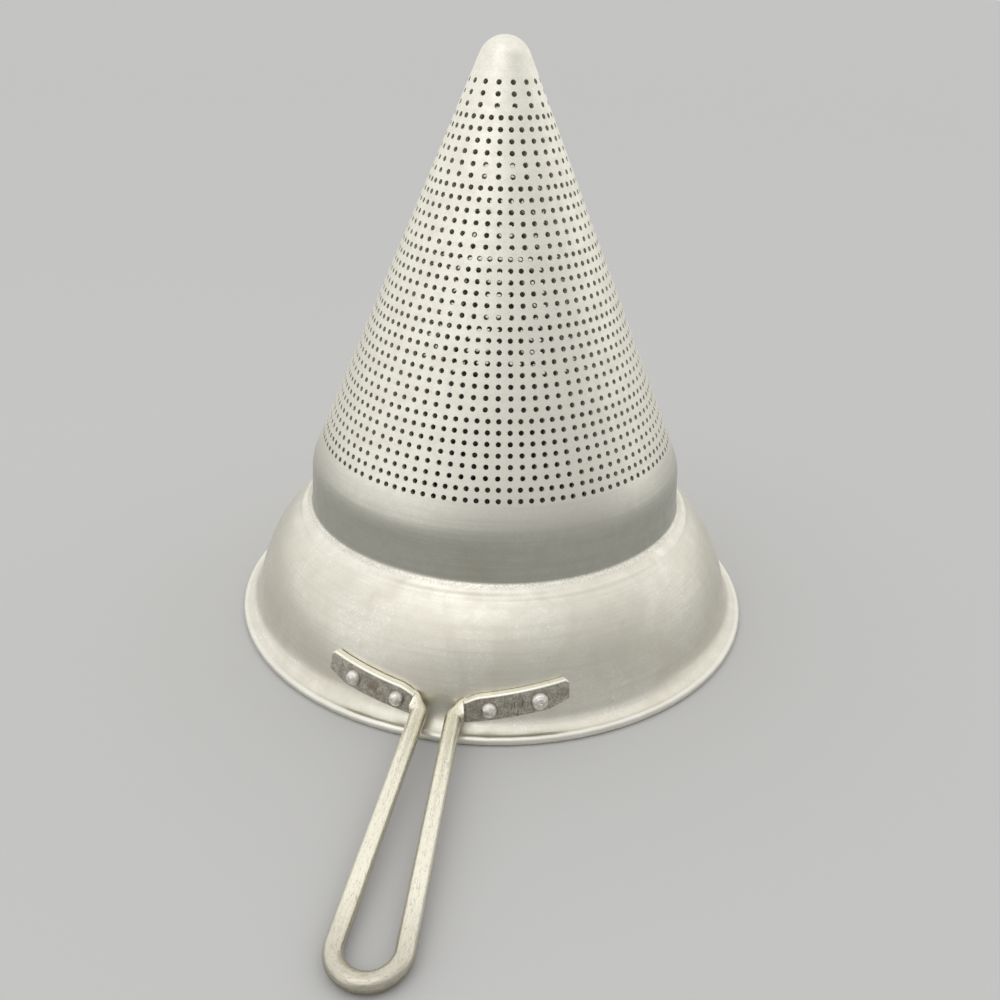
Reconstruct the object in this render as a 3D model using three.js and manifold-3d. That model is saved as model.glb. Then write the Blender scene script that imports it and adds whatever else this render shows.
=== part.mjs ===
// A conical strainer of the kind called a china cap, standing upside down on its rim.
// It is a spun aluminium shell, a handle bent from one steel wire, and four rivets.
// Millimetres, +Z up, the floor at z = 0, the handle pointing along -Y.
import * as THREE from 'three';
import { mergeGeometries, mergeVertices } from 'three/addons/utils/BufferGeometryUtils.js';
import Module from 'manifold-3d';

// Shell
const WALL = 2;
const RIM_DIAMETER = 257.6;
const BEAD_DIAMETER = 4;
const FLANGE_HEIGHT = 3.6;
const FLANGE_FILLET = 5.5;
const BOWL_DIAMETER = 240.8;
const BOWL_CURVE = 68.4;
const BOWL_LEVEL = 1;
const GROOVE_DIAMETER = 182;
const GROOVE_FILLET = 2;
const SHOULDER_DIAMETER = 179.4;
const SHOULDER_HEIGHT = 78.8;
const SHOULDER_FILLET = 20;
const CONE_HALF_ANGLE = THREE.MathUtils.degToRad(23.54);
const TIP_RADIUS = 11.65;

// Perforation: rows up the cone, each with the same number of holes in every sector
const HOLE_DIAMETER = 2.38;
const ROW_COUNT = 37;
const ROW_PITCH = 4.7625;
const LAST_ROW_TO_SHOULDER = 15.3;
const SECTORS = 16;
const PATTERN_TURN = THREE.MathUtils.degToRad(12.15);
// Row, counted from the tip, at which a sector's row gets its first, second, third hole and so on
const ROWS_WHERE_A_HOLE_IS_ADDED = [0, 3, 9, 15, 21, 29, 35];
// The mesh has every second hole of every third row, each in its true place
const FIRST_DRAWN_ROW = 1;
const ROW_STEP = 3;
const HOLE_STEP = 2;
// Slope between the first or last drawn row of a band of flat facets and the band's edge
const BAND_MARGIN = 4.7625;

// Handle. The reach is from the cone's axis. The pad's height is that of its middle line at the inner
// rivet, and its rise is what that line climbs to the outer one. The wire was bent by hand: its two
// bends lie a little to the left of the middle plane, and its loop a little to the right.
const WIRE_DIAMETER = 7.14;
const HANDLE_REACH = 251.5;
const ARM_GAP = 15;
const ARM_HEIGHT = 12.5;
const BEND_ASIDE = -1.6;
const LOOP_ASIDE = 1.6;
const LOOP_WIDTH = 23.6;
const LOOP_LIFT = 0.3;
const BEND_RADIUS = 9;
const ROUND_AFTER = THREE.MathUtils.degToRad(60);
const PAD_THICKNESS = 3.5;
const PAD_WIDTH = 11.5;
const PAD_HEIGHT = 14.1;
const PAD_RISE = 3.2;
const PAD_END_ANGLE = THREE.MathUtils.degToRad(25.5);
const PAD_CLIP_LENGTH = 9;
const PAD_LOWER_CLIP = 3.4;
const PAD_UPPER_CLIP = 1.4;
const PAD_SQUARENESS = 0.4;

// Rivets
const INNER_RIVET_ANGLE = THREE.MathUtils.degToRad(9.4);
const OUTER_RIVET_ANGLE = THREE.MathUtils.degToRad(19.4);
const SHANK_DIAMETER = 4;
const HEAD_DIAMETER = 7.2;
const HEAD_HEIGHT = 2.5;
const TAIL_DIAMETER = 7;
const TAIL_HEIGHT = 1.3;

// Gap kept between pieces that lie on each other
const CLEARANCE = 0.3;

// Facets
const TIP_SIDES = 16;
const RIM_SIDES = 48;
const HOLE_SIDES = 4;
const WIRE_SIDES = 12;
const RIVET_SIDES = 12;
const BEAD_SIDES = 8;
const TIP_STEPS = 3;
const SHOULDER_STEPS = 2;
const GROOVE_STEPS = 1;
const BOWL_STEPS = 5;
const FLANGE_STEPS = 3;
const PAD_STEPS = 7;
const BEND_STEPS = 8;
const LOOP_STEPS = 7;
const HEAD_STEPS = 3;
// Corners that lie closer than this are one corner
const MERGE_DISTANCE = 1e-4;

const rimRadius = RIM_DIAMETER / 2;
const beadRadius = BEAD_DIAMETER / 2;
const wireRadius = WIRE_DIAMETER / 2;
const bowlCentre = new THREE.Vector2(BOWL_DIAMETER / 2 - BOWL_CURVE, BOWL_LEVEL);
const coneDirection = new THREE.Vector2(Math.sin(CONE_HALF_ANGLE), -Math.cos(CONE_HALF_ANGLE));
const shoulder = new THREE.Vector2(SHOULDER_DIAMETER / 2, SHOULDER_HEIGHT);

const wasm = await Module();
wasm.setup();

function onCircle(centre, radius, angle) {
  return new THREE.Vector2(Math.cos(angle), Math.sin(angle)).multiplyScalar(radius).add(centre);
}

// Points along an arc, both ends included.
function arc(centre, radius, from, to, steps) {
  const points = [];
  for (let i = 0; i <= steps; i += 1) {
    points.push(onCircle(centre, radius, THREE.MathUtils.lerp(from, to, i / steps)));
  }
  return points;
}

// Geometry with merged corners and no collapsed triangles, as the solid modeller wants it.
function closedMesh(geometry) {
  geometry.deleteAttribute('normal');
  geometry.deleteAttribute('uv');
  const merged = mergeVertices(geometry, MERGE_DISTANCE);
  const corners = merged.index.array;
  const kept = [];
  for (let i = 0; i < corners.length; i += 3) {
    const [a, b, c] = [corners[i], corners[i + 1], corners[i + 2]];
    if (a !== b && b !== c && c !== a) kept.push(a, b, c);
  }
  merged.setIndex(kept);
  return merged;
}

function toSolid(geometry) {
  const closed = closedMesh(geometry);
  return new wasm.Manifold(
    new wasm.Mesh({
      numProp: 3,
      vertProperties: new Float32Array(closed.attributes.position.array),
      triVerts: new Uint32Array(closed.index.array),
    }),
  );
}

function toGeometry(solid) {
  const mesh = solid.getMesh();
  const geometry = new THREE.BufferGeometry();
  geometry.setAttribute('position', new THREE.BufferAttribute(mesh.vertProperties, 3));
  geometry.setIndex(new THREE.BufferAttribute(mesh.triVerts, 1));
  geometry.computeVertexNormals();
  return geometry;
}

// Turns a (radius, height) profile around Z.
function turned(profile, sides) {
  return new THREE.LatheGeometry(profile, sides).rotateX(Math.PI / 2);
}

// Points of a round corner between two straight stretches, in the order of travel.
function roundCorner(before, corner, after, radius, steps) {
  const back = before.clone().sub(corner).normalize();
  const ahead = after.clone().sub(corner).normalize();
  const half = Math.acos(back.dot(ahead)) / 2;
  const toCentre = back.clone().add(ahead).normalize().multiplyScalar(radius / Math.sin(half));
  const tangent = radius / Math.tan(half);
  const from = back.multiplyScalar(tangent).sub(toCentre).angle();
  const to = ahead.multiplyScalar(tangent).sub(toCentre).angle();
  const turn = THREE.MathUtils.euclideanModulo(to - from + Math.PI, 2 * Math.PI) - Math.PI;
  return arc(toCentre.add(corner), radius, from, from + turn, steps);
}

// Centre of a round that touches the bowl's curve from outside, first met on a straight line.
function roundBesideBowl(start, direction, radius) {
  const offset = start.clone().sub(bowlCentre);
  const along = offset.dot(direction);
  const reach = BOWL_CURVE + radius;
  const distance = -along - Math.sqrt(along ** 2 - offset.lengthSq() + reach ** 2);
  return start.clone().addScaledVector(direction, distance);
}

// How many holes a full row of the pattern has round the cone.
function holesInRow(row) {
  return SECTORS * ROWS_WHERE_A_HOLE_IS_ADDED.filter((first) => first <= row).length;
}

// Place of a row of holes, or of a ring between rows, on the outside of the cone.
function onCone(row) {
  const aboveShoulder = LAST_ROW_TO_SHOULDER + (ROW_COUNT - 1 - row) * ROW_PITCH;
  return shoulder.clone().addScaledVector(coneDirection, -aboveShoulder);
}

// The perforated cone as pairs of rings. Between the two rings of a pair the cone is made of flat
// facets, as many as the rows there have holes, so that each hole lies in the middle of a facet.
function perforatedRings() {
  const marginInRows = BAND_MARGIN / ROW_PITCH;
  const bands = new Map();
  for (let row = FIRST_DRAWN_ROW; row < ROW_COUNT; row += ROW_STEP) {
    const holes = holesInRow(row);
    bands.set(holes, [...(bands.get(holes) ?? []), row]);
  }
  return [...bands].flatMap(([holes, rows]) => {
    const drawn = holes / HOLE_STEP;
    const sides = drawn * Math.ceil(TIP_SIDES / drawn);
    const firstHole = PATTERN_TURN + Math.PI / holes;
    const turn = firstHole - Math.PI / sides;
    const top = rows[0] - marginInRows;
    const bottom = rows.at(-1) + marginInRows;
    const heights = rows.map((row) => (bottom - row) / (bottom - top));
    const holesBelow = { heights, every: sides / drawn };
    return [{ place: onCone(top), sides, turn, holesBelow }, { place: onCone(bottom), sides, turn }];
  });
}

// The shell's outside as rings, from the top of the tip down to the flange.
function outsideRings() {
  const apex = shoulder.y + shoulder.x / Math.tan(CONE_HALF_ANGLE);
  const tipCentre = new THREE.Vector2(0, apex - TIP_RADIUS / Math.sin(CONE_HALF_ANGLE));
  const tip = arc(tipCentre, TIP_RADIUS, Math.PI / 2, CONE_HALF_ANGLE, TIP_STEPS);

  const grooveRadius = GROOVE_DIAMETER / 2;
  const grooveRise = Math.sqrt(BOWL_CURVE ** 2 - (grooveRadius - bowlCentre.x) ** 2);
  const groove = new THREE.Vector2(grooveRadius, bowlCentre.y + grooveRise);
  const shoulderRound = roundCorner(tip.at(-1), shoulder, groove, SHOULDER_FILLET, SHOULDER_STEPS);

  const band = groove.clone().sub(shoulder).normalize();
  const bandOutward = new THREE.Vector2(-band.y, band.x);
  const besideBand = shoulder.clone().addScaledVector(bandOutward, GROOVE_FILLET);
  const grooveCentre = roundBesideBowl(besideBand, band, GROOVE_FILLET);
  const grooveFrom = bandOutward.angle() + Math.PI;
  const bowlFrom = grooveCentre.clone().sub(bowlCentre).angle();
  const grooveTo = bowlFrom + Math.PI;
  const grooveRound = arc(grooveCentre, GROOVE_FILLET, grooveFrom, grooveTo, GROOVE_STEPS);

  const overFlange = new THREE.Vector2(rimRadius, FLANGE_HEIGHT + FLANGE_FILLET);
  const flangeCentre = roundBesideBowl(overFlange, new THREE.Vector2(-1, 0), FLANGE_FILLET);
  const bowlTo = flangeCentre.clone().sub(bowlCentre).angle();
  const bowl = arc(bowlCentre, BOWL_CURVE, bowlFrom, bowlTo, BOWL_STEPS);
  const flangeFrom = bowlTo + Math.PI;
  const flangeRound = arc(flangeCentre, FLANGE_FILLET, flangeFrom, 1.5 * Math.PI, FLANGE_STEPS);

  const cone = perforatedRings();
  const below = [...shoulderRound, ...grooveRound, ...bowl.slice(1), ...flangeRound.slice(1)];
  return [
    ...tip.map((place) => ({ place, sides: TIP_SIDES, turn: cone[0].turn })),
    ...cone,
    ...below.map((place) => ({ place, sides: RIM_SIDES, turn: 0 })),
  ];
}

// The same rings one wall further in. The first stays on the axis.
function insideRings(outside) {
  return outside.map((ring, i) => {
    const place = ring.place.clone();
    if (i === 0) return { ...ring, place: place.setY(place.y - WALL) };
    const arriving = place.clone().sub(outside[i - 1].place).normalize();
    const leaving = (outside[i + 1]?.place ?? place.clone().add(arriving)).clone().sub(place).normalize();
    const middle = arriving.add(leaving).normalize();
    const inward = new THREE.Vector2(middle.y, -middle.x);
    return { ...ring, place: place.addScaledVector(inward, WALL / middle.dot(leaving)) };
  });
}

// The rolled bead, from the flange's top round the outside to its underside, flat where it rests.
// Of its sides, the two that face the flange are left open.
function beadRings() {
  const sideAngle = (2 * Math.PI) / BEAD_SIDES;
  const sides = BEAD_SIDES - 2;
  const centre = new THREE.Vector2(rimRadius - beadRadius, beadRadius);
  const from = Math.PI / 2 + sideAngle / 2;
  const corners = arc(centre, beadRadius / Math.cos(sideAngle / 2), from, from - sides * sideAngle, sides);
  return corners.map((place) => ({ place, sides: RIM_SIDES, turn: 0 }));
}

// Collects the corners and triangles of the shell.
const skin = { points: [], faces: [] };

function addPoint(point) {
  return skin.points.push(point) - 1;
}

function azimuthOf(ring, i) {
  return ring.turn + (2 * Math.PI * i) / ring.sides;
}

// Gives a ring its corners. A ring on the axis is a single corner.
function addCorners(ring) {
  const count = ring.place.x > 0 ? ring.sides : 1;
  const corners = [];
  for (let i = 0; i < count; i += 1) {
    const azimuth = azimuthOf(ring, i);
    const { x: radius, y: height } = ring.place;
    const corner = new THREE.Vector3(radius * Math.sin(azimuth), -radius * Math.cos(azimuth), height);
    corners.push(addPoint(corner));
  }
  return { ...ring, corner: (i) => corners[THREE.MathUtils.euclideanModulo(i, count)], count };
}

// Joins two rings with triangles, also where they have different numbers of sides.
function addStrip(above, below) {
  const startBelow = Math.round(((above.turn - below.turn) / (2 * Math.PI)) * below.sides);
  let [a, b] = [0, startBelow];
  while (a < above.count || b < startBelow + below.count) {
    const aboveLeads = azimuthOf(above, a + 1) <= azimuthOf(below, b + 1);
    const moveAbove = a < above.count && (aboveLeads || b === startBelow + below.count);
    const third = moveAbove ? above.corner(a + 1) : below.corner(b + 1);
    const [first, second] = [above.corner(a), below.corner(b)];
    if (third !== first && third !== second) skin.faces.push(first, second, third);
    if (moveAbove) a += 1;
    else b += 1;
  }
}

// One flat facet, outside and inside, with its column of holes.
function addFacet(outer, inner, heights) {
  const [lowLeft, lowRight, highRight, highLeft] = outer.map((corner) => skin.points[corner]);
  const low = lowLeft.clone().add(lowRight).divideScalar(2);
  const high = highLeft.clone().add(highRight).divideScalar(2);
  const across = lowRight.clone().sub(lowLeft).normalize();
  const up = high.clone().sub(low).normalize();
  const outward = across.clone().cross(up);
  const depth = low.clone().sub(skin.points[inner[0]]).dot(outward);
  const flat = (point) => {
    const fromLow = point.clone().sub(low);
    return new THREE.Vector2(fromLow.dot(across), fromLow.dot(up));
  };

  const equalArea = Math.sqrt((2 * Math.PI) / (HOLE_SIDES * Math.sin((2 * Math.PI) / HOLE_SIDES)));
  const reach = (HOLE_DIAMETER / 2) * equalArea;
  const holes = heights.map((height) => {
    const centre = new THREE.Vector2(0, height * high.distanceTo(low));
    return arc(centre, reach, 2 * Math.PI, 0, HOLE_SIDES).slice(1);
  });
  const contour = [lowLeft, lowRight, highRight, highLeft].map(flat);
  const outerIds = [...outer];
  const innerIds = [...inner];
  for (const hole of holes) {
    const rim = hole.map(({ x, y }) => low.clone().addScaledVector(across, x).addScaledVector(up, y));
    const outerRim = rim.map((point) => addPoint(point));
    const innerRim = rim.map((point) => addPoint(point.clone().addScaledVector(outward, -depth)));
    outerIds.push(...outerRim);
    innerIds.push(...innerRim);
    for (let k = 0; k < HOLE_SIDES; k += 1) {
      const next = (k + 1) % HOLE_SIDES;
      skin.faces.push(outerRim[k], innerRim[k], outerRim[next]);
      skin.faces.push(outerRim[next], innerRim[k], innerRim[next]);
    }
  }
  for (const [a, b, c] of THREE.ShapeUtils.triangulateShape(contour, holes)) {
    skin.faces.push(outerIds[a], outerIds[b], outerIds[c]);
    skin.faces.push(innerIds[c], innerIds[b], innerIds[a]);
  }
}

function shellGeometry() {
  const outsidePlaces = outsideRings();
  const outside = outsidePlaces.map(addCorners);
  const inside = insideRings(outsidePlaces).map(addCorners);
  for (let i = 0; i + 1 < outside.length; i += 1) {
    const { holesBelow } = outside[i];
    if (!holesBelow) {
      addStrip(outside[i], outside[i + 1]);
      addStrip(inside[i + 1], inside[i]);
      continue;
    }
    for (let k = 0; k < outside[i].sides; k += 1) {
      const facetOf = (top, bottom) => [
        bottom.corner(k),
        bottom.corner(k + 1),
        top.corner(k + 1),
        top.corner(k),
      ];
      const heights = k % holesBelow.every === 0 ? holesBelow.heights : [];
      addFacet(facetOf(outside[i], outside[i + 1]), facetOf(inside[i], inside[i + 1]), heights);
    }
  }
  const bead = beadRings().map(addCorners);
  const rim = [outside.at(-1), ...bead, inside.at(-1)];
  for (let i = 0; i + 1 < rim.length; i += 1) addStrip(rim[i], rim[i + 1]);
  return new THREE.BufferGeometry().setFromPoints(skin.points).setIndex(skin.faces);
}

// Point and outward direction on the bowl under a pad's middle line, at an angle from the handle.
function padPlace(angle) {
  const fromInner = (Math.abs(angle) - INNER_RIVET_ANGLE) / (OUTER_RIVET_ANGLE - INNER_RIVET_ANGLE);
  const height = PAD_HEIGHT + PAD_RISE * fromInner;
  const lean = Math.asin((height - BOWL_LEVEL) / BOWL_CURVE);
  const level = bowlCentre.x + BOWL_CURVE * Math.cos(lean);
  const point = new THREE.Vector3(level * Math.sin(angle), -level * Math.cos(angle), height);
  const outward = new THREE.Vector3(Math.sin(angle), -Math.cos(angle), Math.tan(lean)).normalize();
  return { point, outward, lean };
}

const rivetPlaces = [
  { name: 'rivet_left_outer', angle: -OUTER_RIVET_ANGLE },
  { name: 'rivet_left_inner', angle: -INNER_RIVET_ANGLE },
  { name: 'rivet_right_inner', angle: INNER_RIVET_ANGLE },
  { name: 'rivet_right_outer', angle: OUTER_RIVET_ANGLE },
].map(({ name, angle }) => ({ name, ...padPlace(angle) }));

// Turns a shape that stands on Z so that it stands on the bowl.
function standOnBowl(object, { point, outward }) {
  object.quaternion.setFromUnitVectors(new THREE.Vector3(0, 0, 1), outward);
  object.position.copy(point);
  object.updateMatrix();
  return object;
}

// The four rivet holes. To either side of the bowl they reach past twice the pad and the shell.
function rivetHoles() {
  const radius = SHANK_DIAMETER / 2 + CLEARANCE;
  const reach = 2 * (WALL + PAD_THICKNESS);
  const drill = new THREE.CylinderGeometry(radius, radius, 2 * reach, RIVET_SIDES).rotateX(Math.PI / 2);
  const drills = rivetPlaces.map((place) => {
    const { matrix } = standOnBowl(new THREE.Object3D(), place);
    return drill.clone().applyMatrix4(matrix);
  });
  return toSolid(mergeGeometries(drills));
}

function bodyGeometry() {
  return toGeometry(toSolid(shellGeometry()).subtract(rivetHoles()));
}

// Half of the handle, from the outer end of its pad to the end of the loop, drawn to the right of the
// middle plane. The side is 1 for the right half, and -1 for the left one, which is mirrored later.
// A station has its centre, its heading in plan, and the half sizes and lean of its section.
function halfOfHandle(side) {
  const seat = CLEARANCE + PAD_THICKNESS / 2;
  const padMiddle = (angle) => {
    const { point, outward, lean } = padPlace(angle);
    return { centre: point.addScaledVector(outward, seat), lean };
  };
  const innerRivet = padMiddle(INNER_RIVET_ANGLE).centre;
  const padRadius = Math.hypot(innerRivet.x, innerRivet.y);

  const bendX = ARM_GAP / 2 + BEND_RADIUS + side * BEND_ASIDE;
  const bendCentre = new THREE.Vector2(bendX, -Math.sqrt((padRadius + BEND_RADIUS) ** 2 - bendX ** 2));
  const padInnerAngle = Math.atan2(bendCentre.x, -bendCentre.y);
  const loopRadius = LOOP_WIDTH / 2;
  const loopEnd = HANDLE_REACH - wireRadius;
  const loopCentre = new THREE.Vector2(side * LOOP_ASIDE, loopRadius - loopEnd);

  // The straight arm touches the bend on one side and the loop on the other
  const between = loopCentre.clone().sub(bendCentre);
  const spread = loopRadius + BEND_RADIUS;
  const armAngle = between.angle() + Math.asin(spread / between.length());
  const armLeft = armAngle + Math.PI / 2;
  const armStart = onCircle(bendCentre, BEND_RADIUS, armLeft + Math.PI);
  const armDrop = (wireRadius + LOOP_LIFT - ARM_HEIGHT) / (loopEnd + armStart.y);
  const armHeight = (y) => ARM_HEIGHT + armDrop * (armStart.y - y);

  const stations = [];
  const clipStep = PAD_UPPER_CLIP / padRadius;
  const padAngles = [PAD_END_ANGLE];
  for (let i = 0; i <= PAD_STEPS; i += 1) {
    padAngles.push(THREE.MathUtils.lerp(PAD_END_ANGLE - clipStep, padInnerAngle, i / PAD_STEPS));
  }
  for (const angle of padAngles) {
    const { centre, lean } = padMiddle(angle);
    const fromEnd = (PAD_END_ANGLE - angle) * padRadius;
    const clipped = Math.max(0, 1 - fromEnd / PAD_CLIP_LENGTH);
    stations.push({
      centre,
      heading: new THREE.Vector2(-Math.cos(angle), -Math.sin(angle)),
      lean,
      thickness: PAD_THICKNESS / 2,
      above: PAD_WIDTH / 2 - Math.max(0, PAD_UPPER_CLIP - fromEnd),
      below: PAD_WIDTH / 2 - PAD_LOWER_CLIP * clipped,
      roundness: 0,
    });
  }

  const padEnd = stations.at(-1);
  const bendFrom = Math.PI / 2 + padInnerAngle;
  const bendTo = THREE.MathUtils.euclideanModulo(armLeft + Math.PI, 2 * Math.PI);
  for (let i = 1; i <= BEND_STEPS; i += 1) {
    const turn = ((bendTo - bendFrom) * i) / BEND_STEPS;
    const plan = onCircle(bendCentre, BEND_RADIUS, bendFrom + turn);
    const height = THREE.MathUtils.lerp(padEnd.centre.z, ARM_HEIGHT, i / BEND_STEPS);
    const roundness = THREE.MathUtils.smoothstep(turn, 0, ROUND_AFTER);
    const half = THREE.MathUtils.lerp(PAD_WIDTH / 2, wireRadius, roundness);
    stations.push({
      centre: new THREE.Vector3(plan.x, plan.y, height),
      heading: new THREE.Vector2(-Math.sin(bendFrom + turn), Math.cos(bendFrom + turn)),
      lean: padEnd.lean * (1 - roundness),
      thickness: THREE.MathUtils.lerp(PAD_THICKNESS / 2, wireRadius, roundness),
      above: half,
      below: half,
      roundness,
    });
  }

  const loopFrom = armLeft - 2 * Math.PI;
  const loopTo = -Math.PI / 2;
  for (let i = 0; i <= LOOP_STEPS; i += 1) {
    const angle = THREE.MathUtils.lerp(loopFrom, loopTo, i / LOOP_STEPS);
    const plan = onCircle(loopCentre, loopRadius, angle);
    stations.push({
      centre: new THREE.Vector3(plan.x, plan.y, armHeight(plan.y)),
      heading: new THREE.Vector2(Math.sin(angle), -Math.cos(angle)),
      lean: 0,
      thickness: wireRadius,
      above: wireRadius,
      below: wireRadius,
      roundness: 1,
    });
  }
  return stations;
}

// One ring of points round a station: a rounded rectangle on the pads, a circle on the wire.
function sectionRing({ centre, heading, lean, thickness, above, below, roundness }) {
  const power = THREE.MathUtils.lerp(PAD_SQUARENESS, 1, roundness);
  const bulge = (value) => Math.sign(value) * Math.abs(value) ** power;
  const side = new THREE.Vector3(-heading.y, heading.x, 0);
  const up = new THREE.Vector3(0, 0, 1);
  const outward = side.clone().multiplyScalar(Math.cos(lean)).addScaledVector(up, Math.sin(lean));
  const across = up.multiplyScalar(Math.cos(lean)).addScaledVector(side, -Math.sin(lean));
  const ring = [];
  for (let i = 0; i < WIRE_SIDES; i += 1) {
    const angle = (2 * Math.PI * i) / WIRE_SIDES;
    const rise = Math.sin(angle);
    const point = centre.clone().addScaledVector(outward, thickness * bulge(Math.cos(angle)));
    ring.push(point.addScaledVector(across, (rise > 0 ? above : below) * bulge(rise)));
  }
  return ring;
}

// Skins a row of sections and closes both ends.
function loft(stations) {
  const rings = stations.map(sectionRing);
  const points = [...rings.flat(), stations[0].centre, stations.at(-1).centre];
  const [startCap, endCap] = [points.length - 2, points.length - 1];
  const last = (rings.length - 1) * WIRE_SIDES;
  const faces = [];
  for (let k = 0; k < WIRE_SIDES; k += 1) {
    const next = (k + 1) % WIRE_SIDES;
    for (let base = 0; base < last; base += WIRE_SIDES) {
      const ahead = base + WIRE_SIDES;
      faces.push(base + k, base + next, ahead + k);
      faces.push(base + next, ahead + next, ahead + k);
    }
    faces.push(startCap, next, k);
    faces.push(endCap, last + k, last + next);
  }
  return new THREE.BufferGeometry().setFromPoints(points).setIndex(faces);
}

function handleGeometry() {
  const right = halfOfHandle(1);
  const left = halfOfHandle(-1).slice(0, -1).map((station) => ({
    ...station,
    centre: station.centre.clone().setX(-station.centre.x),
    heading: new THREE.Vector2(station.heading.x, -station.heading.y),
  }));
  const wire = toSolid(loft([...right, ...left.reverse()]));
  return toGeometry(wire.subtract(rivetHoles()));
}

// A rivet standing on Z, with z = 0 on the outside of the bowl.
function rivetGeometry() {
  const shank = SHANK_DIAMETER / 2;
  const head = HEAD_DIAMETER / 2;
  const tail = TAIL_DIAMETER / 2;
  const headSeat = PAD_THICKNESS + 2 * CLEARANCE;
  const tailSeat = -WALL - 2 * CLEARANCE;
  const domeRadius = (head ** 2 + HEAD_HEIGHT ** 2) / (2 * HEAD_HEIGHT);
  const domeCentre = new THREE.Vector2(0, headSeat + HEAD_HEIGHT - domeRadius);
  const domeFrom = Math.asin((headSeat - domeCentre.y) / domeRadius);
  const tailRound = TAIL_HEIGHT / 2;
  const profile = [
    new THREE.Vector2(0, tailSeat - TAIL_HEIGHT),
    new THREE.Vector2(tail - tailRound, tailSeat - TAIL_HEIGHT),
    new THREE.Vector2(tail, tailSeat - tailRound),
    new THREE.Vector2(tail, tailSeat),
    new THREE.Vector2(shank, tailSeat),
    new THREE.Vector2(shank, headSeat),
    ...arc(domeCentre, domeRadius, domeFrom, Math.PI / 2, HEAD_STEPS),
  ];
  return toGeometry(toSolid(turned(profile, RIVET_SIDES)));
}

const spunAluminium = { color: 0xc6c4bb, roughness: 0.42, metalness: 1 };
const platedSteel = { color: 0xaaa593, roughness: 0.5, metalness: 1 };
const rivetAluminium = { color: 0xd2d0ca, roughness: 0.35, metalness: 1 };

function namedMesh(name, geometry, finish) {
  const mesh = new THREE.Mesh(geometry, new THREE.MeshStandardMaterial(finish));
  mesh.name = name;
  return mesh;
}

// The assembly is built round the cone's axis, then moved to the middle of its own length.
const strainer = new THREE.Group();
strainer.position.y = (HANDLE_REACH - rimRadius) / 2;
strainer.add(namedMesh('strainer_body', bodyGeometry(), spunAluminium));
strainer.add(namedMesh('wire_handle', handleGeometry(), platedSteel));
const rivet = rivetGeometry();
for (const place of rivetPlaces) {
  strainer.add(standOnBowl(namedMesh(place.name, rivet.clone(), rivetAluminium), place));
}

const scene = new THREE.Group();
scene.add(strainer);
export default scene;
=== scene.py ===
import math

import bpy
import numpy as np
from mathutils import Matrix, Vector


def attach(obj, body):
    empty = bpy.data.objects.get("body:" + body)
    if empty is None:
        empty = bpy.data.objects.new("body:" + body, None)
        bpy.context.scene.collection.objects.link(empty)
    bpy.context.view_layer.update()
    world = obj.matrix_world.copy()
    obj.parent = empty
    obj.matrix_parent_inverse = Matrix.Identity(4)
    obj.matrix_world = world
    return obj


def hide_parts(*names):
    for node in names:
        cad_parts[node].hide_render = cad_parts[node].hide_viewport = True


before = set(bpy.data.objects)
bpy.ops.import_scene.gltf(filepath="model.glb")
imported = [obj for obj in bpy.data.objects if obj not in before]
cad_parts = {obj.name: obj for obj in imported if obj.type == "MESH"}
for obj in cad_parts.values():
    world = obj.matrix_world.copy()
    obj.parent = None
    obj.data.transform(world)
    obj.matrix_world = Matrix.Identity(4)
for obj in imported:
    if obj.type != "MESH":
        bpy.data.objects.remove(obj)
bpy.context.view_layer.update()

# Camera. It looks down over the handle from a little to its right, close enough for
# strong perspective, with a slight tilt of the picture.
AXIS_Y = 0.06135
CAMERA_AZIMUTH = math.radians(9.45)
CAMERA_DISTANCE = 0.46014
CAMERA_HEIGHT = 0.28613
LOOK_DOWN = 0.4724
LOOK_ASIDE = 0.0061
CAMERA_ROLL = 0.0267
LENS = 36.46
SENSOR_WIDTH = 36.0

camera_data = bpy.data.cameras.new("camera")
camera_data.sensor_width = SENSOR_WIDTH
camera_data.lens = LENS
camera_data.dof.use_dof = False
camera = bpy.data.objects.new("camera", camera_data)
bpy.context.scene.collection.objects.link(camera)
forward = Vector((
    math.sin(LOOK_ASIDE) * math.cos(LOOK_DOWN),
    math.cos(LOOK_ASIDE) * math.cos(LOOK_DOWN),
    -math.sin(LOOK_DOWN),
))
right = Vector((math.cos(LOOK_ASIDE), -math.sin(LOOK_ASIDE), 0.0))
above = right.cross(forward)
facing = Matrix((right, above, -forward)).transposed().to_4x4()
camera_place = Vector((
    CAMERA_DISTANCE * math.sin(CAMERA_AZIMUTH),
    AXIS_Y - CAMERA_DISTANCE * math.cos(CAMERA_AZIMUTH),
    CAMERA_HEIGHT,
))
swing = Matrix.Rotation(CAMERA_AZIMUTH, 4, "Z")
roll = Matrix.Rotation(CAMERA_ROLL, 4, "Z")
camera.matrix_world = Matrix.Translation(camera_place) @ swing @ facing @ roll
bpy.context.scene.camera = camera
bpy.context.scene.view_settings.view_transform = "Standard"


# Studio. A wide pale floor under a soft light that comes from all round, dimmest low in front
# and a little to the right, with one large soft lamp high in front.
def put(tree, kind, inputs=None, **settings):
    node = tree.nodes.new(kind)
    for name, value in settings.items():
        setattr(node, name, value)
    for key, value in (inputs or {}).items():
        if isinstance(value, bpy.types.NodeSocket):
            tree.links.new(value, node.inputs[key])
        else:
            node.inputs[key].default_value = value
    return node


def new_object(name, points, faces):
    mesh = bpy.data.meshes.new(name)
    mesh.from_pydata(points, [], faces)
    mesh.update()
    made = bpy.data.objects.new(name, mesh)
    bpy.context.scene.collection.objects.link(made)
    return made


ON_AXIS = 1e-7


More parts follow.
